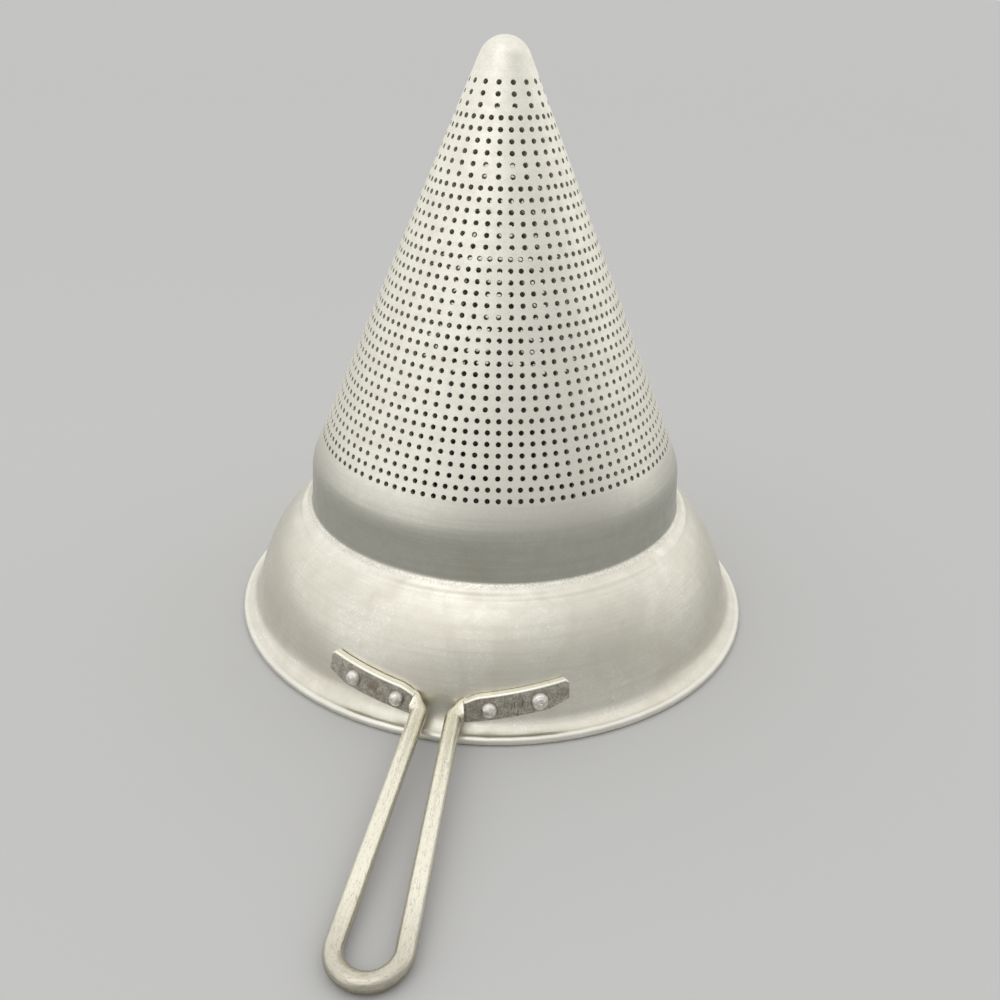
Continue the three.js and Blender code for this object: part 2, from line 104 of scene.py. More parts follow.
# Turns a (radius, height) profile round an upright axis. A point on the axis is one corner.
def turned(profile, sides, axis_y):
    points = []
    rings = []
    for radius, height in profile:
        count = sides if radius > ON_AXIS else 1
        rings.append([len(points) + k for k in range(count)])
        for k in range(count):
            angle = 2 * math.pi * k / sides
            points.append((radius * math.sin(angle), axis_y - radius * math.cos(angle), height))
    faces = []
    for upper, lower in zip(rings, rings[1:]):
        for k in range(sides):
            corners = [
                upper[k % len(upper)],
                lower[k % len(lower)],
                lower[(k + 1) % len(lower)],
                upper[(k + 1) % len(upper)],
            ]
            faces.append(list(dict.fromkeys(corners)))
    return points, faces


FLOOR_RADIUS = 90.0
FLOOR_SIDES = 96
FLOOR_COLOUR = (0.55, 0.55, 0.545, 1.0)
FLOOR_ROUGHNESS = 0.9
FLOOR_GLOSS = 0.1
SKY_COLOUR = (1.0, 0.995, 0.985, 1.0)
SKY_OVERHEAD = 1.04
SKY_ROUND = 1.0
SKY_IN_FRONT = 0.44
FRONT = (0.56, -0.828, 0.0)
FRONT_FROM = 0.1
FRONT_FULL = 0.9
OVERHEAD_FROM = 0.12
LAMP_PLACE = (-0.3, AXIS_Y - 0.95, 1.45)
LAMP_SIZE = 1.6
LAMP_POWER = 2.2

floor_points, floor_faces = turned([(0.0, 0.0), (FLOOR_RADIUS, 0.0)], FLOOR_SIDES, AXIS_Y)
floor = new_object("floor", floor_points, floor_faces)
paper = bpy.data.materials.new("paper")
paper.use_nodes = True
paper_shader = paper.node_tree.nodes["Principled BSDF"]
paper_shader.inputs["Base Color"].default_value = FLOOR_COLOUR
paper_shader.inputs["Roughness"].default_value = FLOOR_ROUGHNESS
paper_shader.inputs["Specular IOR Level"].default_value = FLOOR_GLOSS
floor.data.materials.append(paper)

world = bpy.data.worlds.new("studio")
bpy.context.scene.world = world
world.use_nodes = True
sky = world.node_tree
sky_direction = put(sky, "ShaderNodeTexCoord").outputs["Generated"]
sky_parts = put(sky, "ShaderNodeSeparateXYZ", {0: sky_direction})
sky_front = put(sky, "ShaderNodeVectorMath", {0: sky_direction, 1: FRONT}, operation="DOT_PRODUCT")
sky_low = put(sky, "ShaderNodeMapRange", {
    "Value": sky_front.outputs["Value"],
    "From Min": FRONT_FROM,
    "From Max": FRONT_FULL,
    "To Min": SKY_ROUND,
    "To Max": SKY_IN_FRONT,
}, interpolation_type="SMOOTHSTEP")
sky_level = put(sky, "ShaderNodeMapRange", {
    "Value": sky_parts.outputs["Z"],
    "From Min": OVERHEAD_FROM,
    "From Max": 1.0,
    "To Min": sky_low.outputs["Result"],
    "To Max": SKY_OVERHEAD,
}, interpolation_type="SMOOTHSTEP")
background = sky.nodes["Background"]
sky.links.new(sky_level.outputs["Result"], background.inputs["Strength"])
background.inputs["Color"].default_value = SKY_COLOUR

lamp_data = bpy.data.lights.new("softbox", "AREA")
lamp_data.shape = "DISK"
lamp_data.size = LAMP_SIZE
lamp_data.energy = LAMP_POWER
lamp = bpy.data.objects.new("softbox", lamp_data)
lamp.location = LAMP_PLACE
lamp_aim = Vector((0.0, AXIS_Y, 0.0)) - lamp.location
lamp.rotation_euler = lamp_aim.to_track_quat("-Z", "Y").to_euler()
bpy.context.scene.collection.objects.link(lamp)

# Strainer body. One shell of aluminium, spun over a former: perforated cone, plain band,
# round bowl and a flange with a rolled bead. The holes are punched through a sector at a time.
MM = 0.001
SHELL_WALL = 2.0 * MM
RIM_RADIUS = 128.8 * MM
BEAD_RADIUS = 2.0 * MM
FLANGE_EDGE = 3.93 * MM
FLANGE_SLOPE = math.radians(16)
FLARE_HEIGHT = 9.0 * MM
FLARE_STEPS = 12
BOWL_CURVE = 68.4 * MM
BOWL_CENTRE = Vector((52.0 * MM, 1.0 * MM))
GROOVE_RADIUS = 91.0 * MM
GROOVE_FILLET = 3.5 * MM
RIDGE_LENGTH = 7.0 * MM
RIDGE_HEIGHT = 0.28 * MM
RIDGE_STEPS = 14
SHOULDER = Vector((89.7 * MM, 78.8 * MM))
SHOULDER_FILLET = 20.0 * MM
CONE_HALF_ANGLE = math.radians(23.54)
TIP_RADIUS = 11.65 * MM
BODY_SIDES = 80
TIP_STEPS = 12
CONE_RINGS = 10
SHOULDER_STEPS = 8
GROOVE_STEPS = 8
BOWL_STEPS = 17
BEAD_STEPS = 18


def on_round(centre, radius, angle):
    return (centre[0] + radius * math.cos(angle), centre[1] + radius * math.sin(angle))


def arc(centre, radius, start, end, steps):
    return [on_round(centre, radius, start + (end - start) * i / steps) for i in range(steps + 1)]


# Centre of a round that touches the bowl's curve from outside, on a straight line.
def beside_bowl(start, direction, radius):
    offset = start - BOWL_CENTRE
    along = offset.dot(direction)
    reach = BOWL_CURVE + radius
    return start + direction * (-along - math.sqrt(along ** 2 - offset.length_squared + reach ** 2))


def angle_of(vector):
    return math.atan2(vector.y, vector.x)


slope = Vector((math.sin(CONE_HALF_ANGLE), -math.cos(CONE_HALF_ANGLE)))
apex = SHOULDER.y + SHOULDER.x / math.tan(CONE_HALF_ANGLE)
tip_centre = Vector((0.0, apex - TIP_RADIUS / math.sin(CONE_HALF_ANGLE)))
groove_rise = math.sqrt(BOWL_CURVE ** 2 - (GROOVE_RADIUS - BOWL_CENTRE.x) ** 2)
band = (Vector((GROOVE_RADIUS, BOWL_CENTRE.y + groove_rise)) - SHOULDER).normalized()
band_out = Vector((-band.y, band.x))
cone_out = Vector((math.cos(CONE_HALF_ANGLE), math.sin(CONE_HALF_ANGLE)))
shoulder_turn = cone_out.angle(band_out)
shoulder_back = SHOULDER - slope * SHOULDER_FILLET * math.tan(shoulder_turn / 2)
shoulder_centre = shoulder_back - cone_out * SHOULDER_FILLET
groove_centre = beside_bowl(SHOULDER + band_out * GROOVE_FILLET, band, GROOVE_FILLET)
bowl_from = angle_of(groove_centre - BOWL_CENTRE)
bead_centre = Vector((RIM_RADIUS - BEAD_RADIUS, BEAD_RADIUS))
bead_from = math.pi - math.asin((FLANGE_EDGE - BEAD_RADIUS) / BEAD_RADIUS)
bowl_to = math.asin((FLANGE_EDGE + FLARE_HEIGHT - BOWL_CENTRE.y) / BOWL_CURVE)
flare_from = BOWL_CENTRE + Vector((math.cos(bowl_to), math.sin(bowl_to))) * BOWL_CURVE
flare_to = bead_centre + Vector((math.cos(bead_from), math.sin(bead_from))) * BEAD_RADIUS
flare_fall = math.tan(FLANGE_SLOPE)
flare_room = flare_to - flare_from - Vector((FLARE_HEIGHT * math.tan(bowl_to), -FLARE_HEIGHT))
flare_back = flare_room.x / (1 - flare_fall * math.tan(bowl_to))
flare_corner = flare_to + Vector((-flare_back, flare_back * flare_fall))

# Centre, radius, first and last angle, steps, and whether the metal's inside is nearer the centre
rounds = [
    (tip_centre, TIP_RADIUS, math.pi / 2, CONE_HALF_ANGLE, TIP_STEPS, -1),
    (shoulder_centre, SHOULDER_FILLET, angle_of(cone_out), angle_of(band_out), SHOULDER_STEPS, -1),
    (groove_centre, GROOVE_FILLET, angle_of(band_out) + math.pi, bowl_from + math.pi, GROOVE_STEPS, 1),
    (BOWL_CENTRE, BOWL_CURVE, bowl_from - RIDGE_LENGTH / BOWL_CURVE, bowl_to, BOWL_STEPS, -1),
]


# Beside the groove the bowl dips and then stands a little proud, where the spinning tool turned.
def ridge(depth):
    points = []
    for i in range(1, RIDGE_STEPS):
        share = i / RIDGE_STEPS
        wave = math.sin(2 * math.pi * share) * math.sin(math.pi * share)
        angle = bowl_from - RIDGE_LENGTH / BOWL_CURVE * share
        points.append(on_round(BOWL_CENTRE, BOWL_CURVE - depth - RIDGE_HEIGHT * wave, angle))
    return points


# From the bowl to the flange the metal bends more and more sharply.
def flare(depth):
    points = []
    for i in range(FLARE_STEPS + 1):
        share = i / FLARE_STEPS
        upper = flare_from.lerp(flare_corner, share)
        lower = flare_corner.lerp(flare_to, share)
        heading = (lower - upper).normalized()
        points.append(tuple(upper.lerp(lower, share) - Vector((-heading.y, heading.x)) * depth))
    return points


# The shell's profile at a depth under its outside, from the tip down to the flange.
def shell_profile(depth):
    curves = []
    for centre, radius, start, end, steps, inward in rounds:
        curves.append(arc(centre, radius + inward * depth, start, end, steps))
    tip, shoulder, groove, bowl = curves
    tip[0] = (0.0, tip[0][1])
    cone = []
    for i in range(1, CONE_RINGS):
        cone.append(tuple(Vector(tip[-1]).lerp(Vector(shoulder[0]), i / CONE_RINGS)))
    return tip + cone + shoulder + groove + ridge(depth) + bowl + flare(depth)[1:]


bead_to = -math.pi - math.asin((flare(SHELL_WALL)[-1][1] - BEAD_RADIUS) / BEAD_RADIUS)
bead = arc(bead_centre, BEAD_RADIUS, bead_from, bead_to, BEAD_STEPS)[1:]
body_profile = shell_profile(0.0) + bead + shell_profile(SHELL_WALL)[::-1]
body = new_object("perforated_shell", *turned(body_profile, BODY_SIDES, AXIS_Y))
inner_rings = len(body_profile) - len(shell_profile(0.0)) - len(bead)
outer_corners = len(body.data.vertices) - (inner_rings - 1) * BODY_SIDES - 1
inside_mark = body.data.attributes.new("inside", "FLOAT", "POINT")
inside_mark.data.foreach_set("value", [float(k >= outer_corners) for k in range(len(body.data.vertices))])

# Perforation: rows of round holes in equal sectors, each sector a stroke of the press
HOLE_RADIUS = 1.19 * MM
HOLE_FLARE = 0.10 * MM
HOLE_SIDES = 8
CUTTER_REACH = 4.0 * MM
ROW_COUNT = 37
ROW_PITCH = 4.7625 * MM
LAST_ROW_TO_SHOULDER = 15.3 * MM
SECTORS = 16
PATTERN_TURN = math.radians(12.15)
ROWS_WHERE_A_HOLE_IS_ADDED = (0, 3, 9, 15, 21, 29, 35)
STROKE_SHIFT = math.radians(0.3)
STROKE_SPREAD = 0.99
STROKE_SEED = 5


def maths(tree, operation, *values):
    return put(tree, "ShaderNodeMath", dict(enumerate(values)), operation=operation).outputs[0]


def vector_maths(tree, operation, *values):
    return put(tree, "ShaderNodeVectorMath", dict(enumerate(values)), operation=operation).outputs[0]


def combine(tree, x, y, z):
    return put(tree, "ShaderNodeCombineXYZ", {0: x, 1: y, 2: z}).outputs[0]


def new_tree(name, settings):
    tree = bpy.data.node_groups.new(name, "GeometryNodeTree")
    tree.interface.new_socket("Geometry", in_out="INPUT", socket_type="NodeSocketGeometry")
    tree.interface.new_socket("Geometry", in_out="OUTPUT", socket_type="NodeSocketGeometry")
    for label, value in settings.items():
        kind = "Int" if isinstance(value, int) else "Float"
        if isinstance(value, bpy.types.Material):
            kind = "Material"
        tree.interface.new_socket(label, in_out="INPUT", socket_type="NodeSocket" + kind)
    given = put(tree, "NodeGroupInput").outputs
    return tree, given


# Runs a finished tree on an object and keeps the result as a plain mesh.
def bake(target, tree, settings):
    modifier = target.modifiers.new(tree.name, "NODES")
    modifier.node_group = tree
    for item in tree.interface.items_tree:
        if item.in_out == "INPUT" and item.name in settings:
            modifier[item.identifier] = settings[item.name]
    graph = bpy.context.evaluated_depsgraph_get()
    result = bpy.data.meshes.new_from_object(target.evaluated_get(graph))
    target.modifiers.clear()
    old = target.data
    target.data = result
    bpy.data.meshes.remove(old)
    result.name = target.name


aluminium = bpy.data.materials.new("spun_aluminium")
holes = {
    "Hole radius": HOLE_RADIUS,
    "Flare": HOLE_FLARE,
    "Rows": ROW_COUNT,
    "Row pitch": ROW_PITCH,
    "Last row to shoulder": LAST_ROW_TO_SHOULDER,
    "Sectors": SECTORS,
    "Turn": PATTERN_TURN,
    "Stroke shift": STROKE_SHIFT,
    "Stroke spread": STROKE_SPREAD,
    "Seed": STROKE_SEED,
    "Metal": aluminium,
}
tree, given = new_tree("punched_holes", holes)

# One punch: a straight bore that opens out where it meets the outside of the cone
punch = put(tree, "GeometryNodeMeshCylinder", {
    "Vertices": HOLE_SIDES,
    "Side Segments": 2,
    "Radius": given["Hole radius"],
    "Depth": 2 * CUTTER_REACH,
}, fill_type="NGON").outputs["Mesh"]
at = put(tree, "GeometryNodeInputPosition").outputs[0]
parts = put(tree, "ShaderNodeSeparateXYZ", {0: at}).outputs
widening = maths(tree, "DIVIDE", given["Flare"], given["Hole radius"])
wide = maths(tree, "MULTIPLY_ADD", widening, 2.0, 1.0)
mouth = combine(
    tree,
    maths(tree, "MULTIPLY", parts["X"], wide),
    maths(tree, "MULTIPLY", parts["Y"], wide),
    given["Flare"],
)
punch = put(tree, "GeometryNodeSetPosition", {
    "Geometry": punch,
    "Selection": maths(tree, "GREATER_THAN", parts["Z"], CUTTER_REACH / 2),
    "Position": mouth,
}).outputs[0]
punch = put(tree, "GeometryNodeSetPosition", {
    "Geometry": punch,
    "Selection": maths(tree, "LESS_THAN", maths(tree, "ABSOLUTE", parts["Z"]), HOLE_FLARE / 2),
    "Offset": combine(tree, 0.0, 0.0, maths(tree, "MULTIPLY", given["Flare"], -1.0)),
}).outputs[0]

# Rows from the tip down, one in each turn of the loop
loop_in = put(tree, "GeometryNodeRepeatInput")
loop_out = put(tree, "GeometryNodeRepeatOutput")
loop_in.pair_with_output(loop_out)
tree.links.new(given["Rows"], loop_in.inputs["Iterations"])
row = loop_in.outputs["Iteration"]
per_sector = 0.0
for first_row in ROWS_WHERE_A_HOLE_IS_ADDED:
    reached = maths(tree, "GREATER_THAN", row, first_row - 0.5)
    per_sector = maths(tree, "ADD", per_sector, reached)
index = put(tree, "GeometryNodeInputIndex").outputs[0]
sector = maths(tree, "FLOOR", maths(tree, "DIVIDE", maths(tree, "ADD", index, 0.5), per_sector))
place = maths(tree, "SUBTRACT", index, maths(tree, "MULTIPLY", sector, per_sector))
place = maths(tree, "DIVIDE", maths(tree, "ADD", place, 0.5), per_sector)
place = maths(tree, "MULTIPLY", maths(tree, "SUBTRACT", place, 0.5), given["Stroke spread"])
sector_angle = maths(tree, "DIVIDE", 2 * math.pi, given["Sectors"])
azimuth = maths(tree, "ADD", maths(tree, "ADD", sector, 0.5), place)
azimuth = maths(tree, "MULTIPLY_ADD", azimuth, sector_angle, given["Turn"])
stroke = put(tree, "FunctionNodeRandomValue", {
    2: maths(tree, "MULTIPLY", given["Stroke shift"], -1.0),
    3: given["Stroke shift"],
    7: sector,
    8: given["Seed"],
}, data_type="FLOAT").outputs[1]
azimuth = maths(tree, "ADD", azimuth, stroke)
rows_below = maths(tree, "SUBTRACT", maths(tree, "SUBTRACT", given["Rows"], 1.0), row)
climb = maths(tree, "MULTIPLY_ADD", rows_below, given["Row pitch"], given["Last row to shoulder"])
row_radius = maths(tree, "MULTIPLY_ADD", climb, -slope.x, SHOULDER.x)
row_height = maths(tree, "MULTIPLY_ADD", climb, -slope.y, SHOULDER.y)
row_points = put(tree, "GeometryNodePoints", {
    "Count": maths(tree, "MULTIPLY", per_sector, given["Sectors"]),
    "Position": combine(
        tree,
        maths(tree, "MULTIPLY", row_radius, maths(tree, "SINE", azimuth)),
        maths(
            tree,
            "MULTIPLY_ADD",
            row_radius,
            maths(tree, "MULTIPLY", maths(tree, "COSINE", azimuth), -1.0),
            AXIS_Y,
        ),
        row_height,
    ),
}).outputs[0]
joined = put(tree, "GeometryNodeJoinGeometry")
tree.links.new(loop_in.outputs["Geometry"], joined.inputs[0])
tree.links.new(row_points, joined.inputs[0])
tree.links.new(joined.outputs[0], loop_out.inputs["Geometry"])

# Each punch stands square on the cone
outward = vector_maths(tree, "SUBTRACT", at, (0.0, AXIS_Y, 0.0))
outward = vector_maths(tree, "MULTIPLY", outward, (1.0, 1.0, 0.0))
outward = vector_maths(tree, "NORMALIZE", outward)
outward = vector_maths(tree, "MULTIPLY", outward, (cone_out.x, cone_out.x, 0.0))
outward = vector_maths(tree, "ADD", outward, (0.0, 0.0, cone_out.y))
punches = put(tree, "GeometryNodeInstanceOnPoints", {
    "Points": loop_out.outputs["Geometry"],
    "Instance": punch,
    "Rotation": put(tree, "FunctionNodeAlignRotationToVector", {"Vector": outward}, axis="Z").outputs[0],
}).outputs[0]
punches = put(tree, "GeometryNodeRealizeInstances", {"Geometry": punches}).outputs[0]
punched = put(tree, "GeometryNodeMeshBoolean", {
    "Mesh 1": given["Geometry"],
    "Mesh 2": punches,
}, operation="DIFFERENCE", solver="MANIFOLD").outputs[0]
punched = put(tree, "GeometryNodeRealizeInstances", {"Geometry": punched}).outputs[0]
punched = put(tree, "GeometryNodeSetMaterial", {
    "Geometry": punched,
    "Material": given["Metal"],
}).outputs[0]
put(tree, "NodeGroupOutput", {"Geometry": punched})
bake(body, tree, holes)

# Corners on the cone get the true cone's normals, and every corner is marked with how deep
# in the wall it lies and how much its edge is rubbed
SMOOTH_BELOW = math.radians(35)
BEAD_WEAR = 0.35
MARGIN = 0.05


def numbers(collection, field, width, kind):
    values = np.empty(len(collection) * width, kind)
    collection.foreach_get(field, values)
    return values.reshape(-1, width) if width > 1 else values


def mark(mesh, name, values):
    attribute = mesh.attributes.new(name, "FLOAT", "CORNER")
    attribute.data.foreach_set("value", np.asarray(values, np.float32))


mesh = body.data
mesh.polygons.foreach_set("use_smooth", [True] * len(mesh.polygons))
mesh.set_sharp_from_angle(angle=SMOOTH_BELOW)
places = numbers(mesh.vertices, "co", 3, np.float32).astype(float)
radii = np.hypot(places[:, 0], places[:, 1] - AXIS_Y)
from_shoulder = np.stack([radii - SHOULDER.x, places[:, 2] - SHOULDER.y], 1)
depths = -(from_shoulder @ np.array(cone_out)) / SHELL_WALL
up_slope = -(from_shoulder @ np.array(slope))
cone_low = (SHOULDER - shoulder_back).length
cone_high = (SHOULDER - (tip_centre + cone_out * TIP_RADIUS)).length
point_on_cone = (up_slope > cone_low - MARGIN * MM) & (up_slope < cone_high + MARGIN * MM)
point_on_cone &= (depths > -MARGIN) & (depths < 1 + MARGIN)
corner_points = numbers(mesh.loops, "vertex_index", 1, np.int32)
starts = numbers(mesh.polygons, "loop_start", 1, np.int32)
lengths = numbers(mesh.polygons, "loop_total", 1, np.int32)


def over_face(function, values):
    return np.repeat(function.reduceat(values[corner_points], starts), lengths)


cone_face = over_face(np.logical_and, point_on_cone)
deepest = over_face(np.maximum, depths)
shallowest = over_face(np.minimum, depths)
outside_face = cone_face & (deepest < MARGIN)
inside_face = cone_face & (shallowest > 1 - MARGIN)
flare_face = cone_face & ~outside_face & (deepest < HOLE_FLARE / SHELL_WALL + MARGIN)
normals = numbers(mesh.corner_normals, "vector", 3, np.float32).astype(float)
radial = (places[:, :2] - (0.0, AXIS_Y)) / np.maximum(radii, MARGIN * MM)[:, None]
cone_normals = np.concatenate([radial * cone_out.x, np.full((len(radii), 1), cone_out.y)], 1)
normals[outside_face] = cone_normals[corner_points[outside_face]]
normals[inside_face] = -cone_normals[corner_points[inside_face]]
mesh.normals_split_custom_set(normals)
kept_inside = mesh.attributes["inside"]
was_inside = numbers(kept_inside.data, "value", 1, np.float32)
if kept_inside.domain == "POINT":
    was_inside = was_inside[corner_points]
mesh.attributes.remove(kept_inside)
mark(mesh, "depth", np.where(cone_face, np.clip(depths[corner_points], 0, 1), was_inside))
bead_corner = radii[corner_points] > bead[0][0] - MARGIN * MM
mark(mesh, "wear", np.where(flare_face, 1.0, np.where(bead_corner, BEAD_WEAR, 0.0)))


def noise(tree, vector, scale, detail, distortion=0.0):
    return put(tree, "ShaderNodeTexNoise", {
        "Vector": vector,
        "Scale": scale,
        "Detail": detail,
        "Distortion": distortion,
    }).outputs["Fac"]


def ease(tree, value, start, end, low=0.0, high=1.0):
    return put(tree, "ShaderNodeMapRange", {
        "Value": value,
        "From Min": start,
        "From Max": end,
        "To Min": low,
        "To Max": high,
    }, interpolation_type="SMOOTHSTEP").outputs["Result"]


def mix(tree, factor, first, second, way="MIX"):
    inputs = {0: factor, 6: first, 7: second}
    return put(tree, "ShaderNodeMix", inputs, data_type="RGBA", blend_type=way).outputs[2]


def tinted(tree, factor, colour, tint):
    return mix(tree, factor, colour, tint, "MULTIPLY")


def streaky(tree, vector, stretch, detail, distortion=0.0):
    stretched = put(tree, "ShaderNodeMapping", {"Vector": vector, "Scale": stretch}).outputs[0]
    return noise(tree, stretched, 1.0, detail, distortion)


def attribute(tree, name):
    return put(tree, "ShaderNodeAttribute", attribute_name=name).outputs["Fac"]


def object_place(tree):
    return put(tree, "ShaderNodeTexCoord").outputs["Object"]


# Each cause of roughness adds its share to the plain metal's.
def roughened(tree, roughness, causes):
    for cause, share in causes:
        roughness = maths(tree, "MULTIPLY_ADD", cause, share, roughness)
    return roughness


def make_metal(tree, colour, roughness, relief, strength, depth):
    shader = tree.nodes["Principled BSDF"]
    bumps = put(tree, "ShaderNodeBump", {"Height": relief, "Strength": strength, "Distance": depth})
    tree.links.new(colour, shader.inputs["Base Color"])
    tree.links.new(roughness, shader.inputs["Roughness"])
    tree.links.new(bumps.outputs["Normal"], shader.inputs["Normal"])
    shader.inputs["Metallic"].default_value = 1.0


ALUMINIUM_BRIGHT = (0.91, 0.895, 0.805, 1.0)
ALUMINIUM_DULL = (0.79, 0.77, 0.68, 1.0)
ALUMINIUM_STAIN = (0.64, 0.60, 0.50, 1.0)
ALUMINIUM_DIRT = (0.36, 0.335, 0.28, 1.0)
ALUMINIUM_INSIDE = (0.80, 0.785, 0.72, 1.0)
ALUMINIUM_RUBBED = (0.94, 0.93, 0.88, 1.0)
ALUMINIUM_PIT = (0.46, 0.44, 0.38, 1.0)
BAND_PAINTED_REFLECTION = (0.56, 0.565, 0.555, 1.0)
BOWL_DARKENING = (0.90, 0.895, 0.885, 1.0)
BAND_TOP = (0.072, 0.096)
BAND_FOOT = (0.0568, 0.0580)
GROOVE = (0.0550, 0.0562)
BOWL_TOP = (0.044, 0.056)
CONE_FOOT = (0.088, 0.106)

# A pattern is its scale, or its stretch, then its detail and distortion. A ramp is where a pattern
# begins to show and where it shows in full, and its levels there where they aren't 0 and 1.
PATCHES = (42.0, 5.0, 0.7)
PATCH_RAMP = (0.40, 0.64)
PATCH_SHARE = 0.30
CLOUDS = (150.0, 5.0, 0.6)
CLOUD_RAMP = (0.38, 0.66)
CLOUD_SHARE = 0.45
GRAIN = (1300.0, 2.0)
GRAIN_RAMP = (0.35, 0.65, 0.0, 0.5)
SPUN_LINES = ((14.0, 14.0, 900.0), 4.0)
LINE_RAMP = (0.42, 0.66, 0.0, 0.55)
LINES_LOST_ON_CONE = 0.65
PITS = (900.0, 1.0)
PIT_RAMP = (0.70, 0.76)
PIT_SHARE = 0.3
DRIPS = ((60.0, 60.0, 22.0), 5.0, 1.0)
DRIP_RAMP = (0.54, 0.72)
DRIP_SHARE = 0.35
FLECKS = (800.0, 4.0)
FLECK_RAMP = (0.56, 0.68)
FLECK_SHARE = 0.55
DIRT_RAMP = (0.40, 0.62, 0.0, 0.35)
DEPTH_RAMP = (0.15, 0.6)
ALUMINIUM_ROUGHNESS = 0.25
CLOUD_ROUGHNESS = 0.06
GRAIN_ROUGHNESS = 0.10
LINE_ROUGHNESS = 0.08
CONE_ROUGHNESS = 0.09
INSIDE_ROUGHNESS = 0.15
GRAIN_RELIEF = 0.6
ALUMINIUM_RELIEF = (0.16, 0.2 * MM)

aluminium.use_nodes = True
tree = aluminium.node_tree
at = object_place(tree)
height = put(tree, "ShaderNodeSeparateXYZ", {0: at}).outputs["Z"]
patches = ease(tree, noise(tree, at, *PATCHES), *PATCH_RAMP)
clouds = ease(tree, noise(tree, at, *CLOUDS), *CLOUD_RAMP)
grain = noise(tree, at, *GRAIN)
lines = streaky(tree, at, *SPUN_LINES)
pits = ease(tree, noise(tree, at, *PITS), *PIT_RAMP)
drips = ease(tree, streaky(tree, at, *DRIPS), *DRIP_RAMP)
flecks = ease(tree, noise(tree, at, *FLECKS), *FLECK_RAMP)
on_cone = ease(tree, height, *CONE_FOOT)
on_bowl = ease(tree, height, *GROOVE, 1.0, 0.0)
over_foot = ease(tree, height, *BAND_FOOT)
on_band = maths(tree, "MULTIPLY", over_foot, ease(tree, height, *BAND_TOP, 1.0, 0.0))
in_groove = maths(tree, "SUBTRACT", maths(tree, "SUBTRACT", 1.0, on_bowl), over_foot)

colour = mix(tree, maths(tree, "MULTIPLY", clouds, CLOUD_SHARE), ALUMINIUM_BRIGHT, ALUMINIUM_DULL)
colour = mix(tree, ease(tree, grain, *GRAIN_RAMP), colour, ALUMINIUM_DULL)
line_share = maths(tree, "MULTIPLY_ADD", on_cone, -LINES_LOST_ON_CONE, 1.0)
lined = maths(tree, "MULTIPLY", ease(tree, lines, *LINE_RAMP), line_share)
colour = mix(tree, lined, colour, ALUMINIUM_DULL)
# The bowl below its top is darker.
colour = tinted(tree, ease(tree, height, *BOWL_TOP, 1.0, 0.0), colour, BOWL_DARKENING)
# The band is darkened as a painted reflection of dark surroundings in front of it; its metal is the same
# as the rest of the shell.
colour = tinted(tree, on_band, colour, BAND_PAINTED_REFLECTION)
worn = maths(tree, "MULTIPLY", maths(tree, "MULTIPLY", flecks, patches), on_bowl)
colour = mix(tree, maths(tree, "MULTIPLY", worn, FLECK_SHARE), colour, ALUMINIUM_RUBBED)
dull_patch = maths(tree, "MULTIPLY", maths(tree, "SUBTRACT", 1.0, patches), PATCH_SHARE)
colour = mix(tree, maths(tree, "MULTIPLY", dull_patch, on_bowl), colour, ALUMINIUM_STAIN)
dripped = maths(tree, "MULTIPLY", maths(tree, "MULTIPLY", drips, DRIP_SHARE), on_bowl)
colour = mix(tree, dripped, colour, ALUMINIUM_STAIN)
dirt = maths(tree, "MULTIPLY", ease(tree, grain, *DIRT_RAMP), in_groove)
colour = mix(tree, dirt, colour, ALUMINIUM_DIRT)
colour = mix(tree, maths(tree, "MULTIPLY", pits, PIT_SHARE), colour, ALUMINIUM_PIT)
colour = mix(tree, attribute(tree, "wear"), colour, ALUMINIUM_RUBBED)
deep = ease(tree, attribute(tree, "depth"), *DEPTH_RAMP)
colour = mix(tree, deep, colour, ALUMINIUM_INSIDE)
roughness = roughened(tree, ALUMINIUM_ROUGHNESS, [
    (clouds, CLOUD_ROUGHNESS),
    (grain, GRAIN_ROUGHNESS),
    (lines, LINE_ROUGHNESS),
    (on_cone, CONE_ROUGHNESS),
    (deep, INSIDE_ROUGHNESS),
])
relief = maths(tree, "MULTIPLY_ADD", lines, line_share, maths(tree, "MULTIPLY", grain, GRAIN_RELIEF))
make_metal(tree, colour, roughness, relief, *ALUMINIUM_RELIEF)

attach(body, "root")
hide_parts("strainer_body")

# Wire handle. One round steel wire, tinned, bent by hand into a loop; both ends are pressed flat
# to pads that follow the bowl, clipped at their outer corners and riveted on.
WIRE_RADIUS = 3.57 * MM
HANDLE_REACH = 251.5 * MM
ARM_GAP = 15.0 * MM
ARM_HEIGHT = 12.5 * MM
BEND_ASIDE = -1.6 * MM
LOOP_ASIDE = 1.6 * MM
LOOP_RADIUS = 11.8 * MM
LOOP_LIFT = 0.3 * MM
BEND_RADIUS = 4.8 * MM
STEP_FROM = 0.6 * MM
STEP_TO = 1.1 * MM
TOP_FALLS_FROM = -6.0 * MM
TOP_FALLS_TO = 5.8 * MM
TOP_ROUNDS_TO = 4.6 * MM
PAD_THICKNESS = 3.5 * MM
PAD_WIDTH = 11.5 * MM
PAD_HEIGHT = 14.1 * MM
PAD_RISE = 3.2 * MM
PAD_END_ANGLE = math.radians(25.5)
PAD_CLIP_LENGTH = 9.0 * MM
PAD_LOWER_CLIP = 2.5 * MM
PAD_UPPER_CLIP = 1.4 * MM
PAD_EDGE = 0.35 * MM
PAD_TOP_EDGE = 1.1 * MM
PAD_SHIFT = 0.9 * MM
PAD_LIP = 0.2 * MM
INNER_RIVET_ANGLE = math.radians(9.4)
OUTER_RIVET_ANGLE = math.radians(19.4)
SEAM = 0.3 * MM
PAD_STEPS = 44
PAD_STEP_GROWTH = 1.4
BEND_STEPS = 60
ARM_STEPS = 10
LOOP_STEPS = 26
CORNER_STEPS = 4
FACE_STEPS = 4
TOP_SIDE = (0.3, 0.95)
PRESSED_ENDS = (0.85, 1.0)


def lerp(first, second, share):
    return first + (second - first) * share


